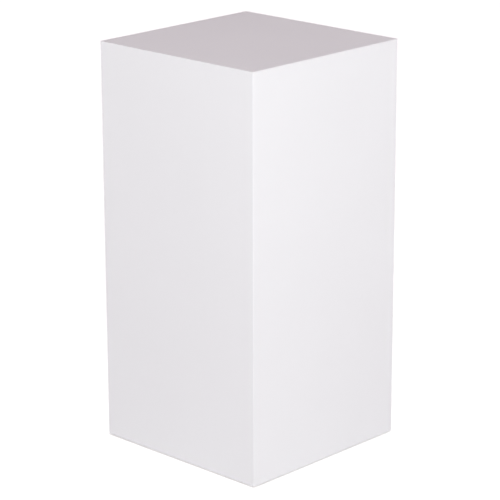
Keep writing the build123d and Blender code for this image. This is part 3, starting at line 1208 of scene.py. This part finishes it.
@dataclass
class LevellingFoot:
    """One levelling foot: threaded stem, nylon base with a fluted grip, and ringed pad.

    Attributes:
        corner: Name of the corner that it stands in.
        foot_inset: Distance of the foot's axis from the middle of the box, both ways.
        stud_radius: Radius over the stud's thread.
        stud_root: Radius under it.
        pitch: Rise of the thread in one turn.
        stud_bottom: Height of the foot of the stud.
        stud_top: Height of its end.
        collar_bottom: Height of the underside of the hexagon collar.
        collar_half_flats: Half the distance across its flats.
        head_bottom: Height of the underside of the captive head.
        head_top: Height of the top of the captive head.
        head_radius: Radius of the captive head.
        neck_radius: Radius of the neck.
        flute_count: Number of flutes round the grip.
        flute_depth: Depth of a flute.
        flute_band: Radius where the flutes begin and where they have their full depth.
        ease: Size of the eased edges of the stem.
        stem_sides: Sides of the turned stem.
        stud_sides: Sides of the threaded stud.
        collar_face: Radius of the collar's flat faces against half the distance across its flats.
        collar_slope: Angle of its turned-off corners in degrees.
        collar_drops: Distances of the rows of those corners from the collar's faces.
        base_profile: Radius and height of the base's profile points in millimetres.
        pad_rim: Radius of the pad's underside.
        pad_steps: Rows of points across the underside.
        pad_sides: Sides of the pad.
        pad_profile: Radius and height of the rest of its profile points in millimetres.
        ring_gap: Distance between the rings in the pad's underside.
        ring_depth: Depth of a ring.
        ring_limit: Radius within which there are rings.
    """

    corner: str
    foot_inset: float = 98.0 * MM
    stud_radius: float = 3.97 * MM
    stud_root: float = 3.3 * MM
    pitch: float = 1.25 * MM
    stud_bottom: float = 15.7 * MM
    stud_top: float = 53.7 * MM
    collar_bottom: float = 10.2 * MM
    collar_half_flats: float = 6.5 * MM
    head_bottom: float = 3.4 * MM
    head_top: float = 6.4 * MM
    head_radius: float = 4.5 * MM
    neck_radius: float = 3.0 * MM
    flute_count: int = 24
    flute_depth: float = 0.5 * MM
    flute_band: Range = (13.6 * MM, 14.8 * MM)
    ease: float = 0.3 * MM
    stem_sides: int = 72
    stud_sides: int = 32
    collar_face: float = 0.95
    collar_slope: float = 30.0
    collar_drops: tuple[float, ...] = (0.0, 0.2 * MM, 0.4 * MM, 0.6 * MM)
    base_profile: tuple[Range, ...] = (
        (0, 2.0), (13.2, 2.0), (13.2, 1.15), (13.35, 1.0), (14.6, 1.0), (15.0, 1.4), (15.0, 4.4),
        (14.85, 4.8), (14.5, 5.2), (10.4, 9.45), (10.1, 9.85), (9.7, 10.0), (3.5, 10.0), (3.1, 9.6),
        (3.1, 6.5), (4.6, 6.5), (4.6, 3.3), (0, 3.3),
    )
    pad_rim: float = 12.6 * MM
    pad_steps: int = 36
    pad_sides: int = 64
    pad_profile: tuple[Range, ...] = ((13.0, 0.4), (13.0, 1.8), (12.8, 2.0), (0, 2.0))
    ring_gap: float = 2.6 * MM
    ring_depth: float = 0.45 * MM
    ring_limit: float = 11.8 * MM

    @property
    def axis(self) -> Vector:
        """The foot of the upright axis."""
        x_sign, y_sign = CORNERS[self.corner]
        return Vector((x_sign * self.foot_inset, y_sign * self.foot_inset, 0.0))

    def _collar_rows(self) -> list[tuple[Callable[[float], float], float]]:
        """Rows of the hexagon collar, its corners turned off above and below.

        Returns:
            For each row, its radius at an angle and its height.
        """
        face_radius = self.collar_face * self.collar_half_flats

        def row(drop: float) -> Callable[[float], float]:
            """Starts the row that lies that far from a face of the collar.

            Args:
                drop: Distance from the face.

            Returns:
                The row's radius at an angle.
            """
            limit = face_radius + drop / math.tan(math.radians(self.collar_slope))

            def radius(angle: float) -> float:
                """The hexagon at an angle, cut off at the row's limit."""
                off_flat = angle % (math.pi / 3) - math.pi / 6
                return min(self.collar_half_flats / math.cos(off_flat), limit)

            return radius

        lower = [(row(drop), self.collar_bottom + drop) for drop in self.collar_drops]
        upper = [(row(drop), self.stud_bottom - drop) for drop in reversed(self.collar_drops)]
        return lower + upper

    def _place(self, name: str, mesh: Mesh, body: str, node: str) -> None:
        """Moves a mesh to the foot's axis and hands it to its body.

        Args:
            name: Name of the piece.
            mesh: Its mesh, made about the Z axis.
            body: The body that it rides on.
            node: The node that it replaces.
        """
        mesh.transform(Matrix.Translation(self.axis))
        piece = add_object(name, mesh)
        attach(piece, body)
        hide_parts(node)
        LOG.info("%s: %d faces", name, len(mesh.polygons))

    def build_stem(self, trees: ShapeTrees, zinc: Material) -> None:
        """Builds the stem: captive head, neck, hexagon collar and threaded stud.

        Args:
            trees: The geometry trees.
            zinc: Material of the stem.
        """
        ease = self.ease
        shank = lathe(
            [
                (self.head_radius - ease, self.head_bottom),
                (self.head_radius, self.head_bottom + ease),
                (self.head_radius, self.head_top - ease),
                (self.head_radius - ease, self.head_top),
                (self.neck_radius, self.head_top),
                (self.neck_radius, self.collar_bottom),
                *self._collar_rows(),
            ],
            self.stem_sides,
        )
        stud = bake_nodes(
            bpy.data.meshes.new("thread"),
            trees.thread,
            {
                "Major Radius": self.stud_radius,
                "Minor Radius": self.stud_root,
                "Pitch": self.pitch,
                "Bottom": self.stud_bottom - ease,
                "Top": self.stud_top,
                "Bottom Radius": self.stud_root,
                "Bottom Taper": 1.5 * self.pitch,
                "Top Radius": self.stud_root - ease,
                "Top Taper": self.pitch,
                "Sides": self.stud_sides,
                "Material": zinc,
            },
        )
        mesh = joined(f"stem_{self.corner}_turned", [shank, stud], zinc)
        self._place(mesh.name, mesh, f"stem_{self.corner}", f"levelling_stem_{self.corner}")

    def build_base(self, trees: ShapeTrees, nylon: Material) -> None:
        """Builds the nylon base: pad recess, fluted grip, cone and closed socket.

        Args:
            trees: The geometry trees.
            nylon: Material of the base.
        """
        rows = [(radius * MM, height * MM) for radius, height in self.base_profile]
        fluted = bake_nodes(
            lathe(rows, 8 * self.flute_count),
            trees.flutes,
            {
                "Flutes": float(self.flute_count),
                "Depth": self.flute_depth,
                "Plain Radius": self.flute_band[0],
                "Full Radius": self.flute_band[1],
                "Material": nylon,
            },
        )
        mesh = joined(f"foot_base_{self.corner}_fluted", [fluted], nylon)
        self._place(mesh.name, mesh, f"foot_{self.corner}", f"foot_base_{self.corner}")

    def build_pad(self, trees: ShapeTrees, rubber: Material) -> None:
        """Builds the rubber pad with rings in its underside and an eased rim.

        Args:
            trees: The geometry trees.
            rubber: Material of the pad.
        """
        rows = [(self.pad_rim * i / self.pad_steps, 0.0) for i in range(self.pad_steps + 1)]
        rows += [(radius * MM, height * MM) for radius, height in self.pad_profile]
        ringed = bake_nodes(
            lathe(rows, self.pad_sides),
            trees.rings,
            {
                "Gap": self.ring_gap,
                "Depth": self.ring_depth,
                "Underside": 0.0,
                "Rim": self.ring_limit,
                "Material": rubber,
            },
        )
        mesh = joined(f"foot_pad_{self.corner}_ringed", [ringed], rubber)
        self._place(mesh.name, mesh, f"foot_{self.corner}", f"foot_pad_{self.corner}")


def seen_rays(graph: Graph) -> NodeSocket:
    """Tells the rays that show the surroundings from those that light the object.

    Args:
        graph: The graph of the material or world.

    Returns:
        1 for rays from the camera, off gloss and through glass, and 0 for the others.
    """
    path = graph.node("ShaderNodeLightPath").outputs
    mirrored = graph.math("MAXIMUM", path["Is Glossy Ray"], path["Is Transmission Ray"])
    return graph.math("MAXIMUM", path["Is Camera Ray"], mirrored)


@dataclass
class SoftLamp:
    """One large soft lamp that looks at the middle of the box.

    Attributes:
        name: Name of the lamp.
        spot: Where it stands.
        size: Width and height of its face.
        strength: Radiance of its face, red, green and blue.
        target: The point that it looks at.
    """

    name: str
    spot: tuple[float, float, float]
    size: tuple[float, float]
    strength: Colour
    target: tuple[float, float, float] = (0.0, 0.0, 0.3)

    def build(self) -> None:
        """Adds the lamp to the scene."""
        light = bpy.data.lights.new(self.name, "AREA")
        light.shape = "RECTANGLE"
        light.size, light.size_y = self.size
        peak = max(self.strength)
        light.color = tuple(value / peak for value in self.strength)
        light.energy = peak * math.pi * self.size[0] * self.size[1]
        lamp = bpy.data.objects.new(self.name, light)
        lamp.location = self.spot
        away = Vector(self.spot) - Vector(self.target)
        lamp.rotation_euler = away.to_track_quat("Z", "Y").to_euler()
        bpy.context.scene.collection.objects.link(lamp)
        LOG.info("lamp %s", self.name)


@dataclass
class Studio:
    """Pale floor, soft lamps, surrounding light and camera.

    Attributes:
        floor_reach: Half the width of the floor.
        floor_colour: Colour of the floor as the lamps see it.
        floor_lift: What the floor gives off towards the camera, on top of what it reflects.
        lift_share_in_painted_shadow: Share of that lift left under the box, a painted shadow that keeps the
            gap below it dark.
        box_half_width: Half the width of the box that stands on the floor.
        painted_shadow_band: How far inside the box's edge the lift begins and how far outside it is full,
            the band where the painted shadow fades out.
        low_light: Light from low down in front.
        back_light: Light from low down behind the object.
        high_light: Light from overhead.
        behind: Direction of the back light.
        behind_band: How far that way the back light begins and where it is full.
        height_band: How far up the light from overhead begins and where it is full.
        lamps: The soft lamps.
    """

    floor_reach: float = 12.0
    floor_colour: Colour = (0.7, 0.7, 0.7)
    floor_lift: float = 0.76
    lift_share_in_painted_shadow: float = 0.5
    box_half_width: float = 0.15
    painted_shadow_band: Range = (4 * MM, 3 * MM)
    low_light: Colour = (1.95, 2.06, 2.04)
    back_light: Colour = (3.1, 3.3, 3.25)
    high_light: Colour = (0.26, 0.17, 0.21)
    behind: tuple[float, float, float] = (-0.8, 0.6, 0.0)
    behind_band: Range = (0.1, 0.8)
    height_band: Range = (0.05, 0.5)
    lamps: tuple[SoftLamp, ...] = (
        SoftLamp("key", (2.0, -0.9, 1.1), (1.0, 1.0), (4.75, 4.95, 4.9)),
        SoftLamp("fill", (-0.6, -2.6, 1.7), (1.4, 1.4), (1.2, 1.26, 1.25)),
        SoftLamp("front", (1.0, -1.3, 1.0), (0.7, 0.7), (0.77, 0.8, 0.8)),
    )

    def build_floor(self) -> None:
        """Adds the floor, which goes down with a foot that is wound out."""
        reach = self.floor_reach
        mesh = bpy.data.meshes.new("floor")
        corners = [(-reach, -reach, 0), (reach, -reach, 0), (reach, reach, 0), (-reach, reach, 0)]
        mesh.from_pydata(corners, [], [(0, 1, 2, 3)])
        mesh.materials.append(self._floor_material())
        floor = add_object("floor", mesh)
        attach(floor, "foot_front_left")
        LOG.info("floor")

    def _floor_material(self) -> Material:
        """White to the camera with the object's shadow on it, partly cast by the lamps and partly a painted
        shadow under and round the box, and clear from below.

        Returns:
            The material.
        """
        material = bpy.data.materials.new("pale_floor")
        material.use_nodes = True
        graph = Graph(material.node_tree)
        nodes = material.node_tree.nodes
        shader, output = nodes["Principled BSDF"], nodes["Material Output"]
        spot = graph.add("ShaderNodeTexCoord", out="Object")
        paper = graph.spread(graph.noise(spot, 2.0), 0.3, 0.7, 0.985, 1.0)
        tone = graph.add("ShaderNodeVectorMath", {0: self.floor_colour, "Scale": paper}, operation="SCALE")
        graph.tree.links.new(tone, shader.inputs["Base Color"])
        shader.inputs["Roughness"].default_value = 1.0
        shader.inputs["Specular IOR Level"].default_value = 0.0
        # Painted shadow: the lift drops to a share under the box's footprint and comes back across a band
        # round its edge, darkening the floor there.
        across, deep, _ = graph.split(spot)
        inside, outside = self.painted_shadow_band
        begin, full = self.box_half_width - inside, self.box_half_width + outside
        share = graph.spread(graph.farther(across, deep), begin, full, self.lift_share_in_painted_shadow, 1.0)
        strength = graph.math("MULTIPLY", graph.math("MULTIPLY", seen_rays(graph), self.floor_lift), share)
        lift = graph.add("ShaderNodeEmission", {"Color": rgba(WHITE), "Strength": strength})
        lit = graph.add("ShaderNodeAddShader", {0: shader.outputs["BSDF"], 1: lift})
        clear = graph.add("ShaderNodeBsdfTransparent")
        behind = graph.add("ShaderNodeNewGeometry", out="Backfacing")
        shown = graph.add("ShaderNodeMixShader", {0: behind, 1: lit, 2: clear})
        graph.tree.links.new(shown, output.inputs["Surface"])
        return material

    def build_world(self) -> None:
        """Adds the light from all round, paler low down than overhead."""
        world = bpy.data.worlds.new("studio")
        bpy.context.scene.world = world
        world.use_nodes = True
        graph = Graph(world.node_tree)
        output = world.node_tree.nodes["World Output"]
        around = graph.add("ShaderNodeTexCoord", out="Generated")
        backward = graph.spread(graph.dot(around, self.behind), *self.behind_band)
        upward = graph.spread(graph.split(around)[2], *self.height_band)
        sides = graph.blend(backward, rgba(self.low_light), rgba(self.back_light))
        tone = graph.blend(upward, sides, rgba(self.high_light))
        light = graph.add("ShaderNodeBackground", {"Color": tone, "Strength": 1.0})
        white = graph.add("ShaderNodeBackground", {"Color": rgba(WHITE), "Strength": 1.0})
        shown = graph.add("ShaderNodeMixShader", {0: seen_rays(graph), 1: light, 2: white})
        graph.tree.links.new(shown, output.inputs["Surface"])

    def build(self) -> None:
        """Adds everything round the object."""
        self.build_floor()
        self.build_world()
        for lamp in self.lamps:
            lamp.build()
        scene = bpy.context.scene
        scene.view_settings.view_transform = "Standard"


@dataclass
class PhotoCamera:
    """The camera, set so that the box stands in the picture as in the photograph.

    Attributes:
        spot: Where it stands.
        azimuth: Its direction round the box in degrees, 0 in front and 90 on the right.
        elevation: Degrees above the horizon.
        roll: Degrees that it leans.
        lens: Focal length in millimetres.
        sensor: Width of the sensor in millimetres.
        clip: Nearest and farthest distance that it sees.
    """

    spot: tuple[float, float, float] = (2.2048, -2.3044, 1.2653)
    azimuth: float = 43.730
    elevation: float = 17.058
    roll: float = -0.167
    lens: float = 164.1
    sensor: float = 36.0
    clip: Range = (0.05, 60.0)

    def build(self) -> None:
        """Adds the camera and makes it the scene's."""
        around, above, lean = (math.radians(value) for value in (self.azimuth, self.elevation, self.roll))
        level = math.cos(above)
        back = Vector((math.sin(around) * level, -math.cos(around) * level, math.sin(above)))
        right = Vector((math.cos(around), math.sin(around), 0.0))
        up = back.cross(right)
        x_axis = math.cos(lean) * right + math.sin(lean) * up
        y_axis = math.cos(lean) * up - math.sin(lean) * right
        data = bpy.data.cameras.new("photo_camera")
        data.sensor_width = self.sensor
        data.lens = self.lens
        data.clip_start, data.clip_end = self.clip
        camera = bpy.data.objects.new("photo_camera", data)
        turn = Matrix((x_axis, y_axis, back)).transposed()
        camera.matrix_world = Matrix.Translation(self.spot) @ turn.to_4x4()
        bpy.context.scene.collection.objects.link(camera)
        bpy.context.scene.camera = camera
        LOG.info("camera: %.1f mm lens", self.lens)


def main() -> None:
    """Builds the camera, the studio and the dressed pedestal."""
    logging.basicConfig(level=logging.INFO, format="%(message)s")
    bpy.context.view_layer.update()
    PhotoCamera().build()
    Studio().build()
    effects = SurfaceEffects()
    trees = ShapeTrees()
    zinc, nylon, rubber = (finish.build(effects) for finish in (ZINC, NYLON, RUBBER))
    Box().dress(effects)
    InnerTimber().dress(effects)
    BaseBoard().dress(effects, zinc)
    ScrewPattern().build(trees, zinc)
    for corner in CORNERS:
        foot = LevellingFoot(corner)
        foot.build_stem(trees, zinc)
        foot.build_base(trees, nylon)
        foot.build_pad(trees, rubber)


if __name__ == "__main__":
    main()
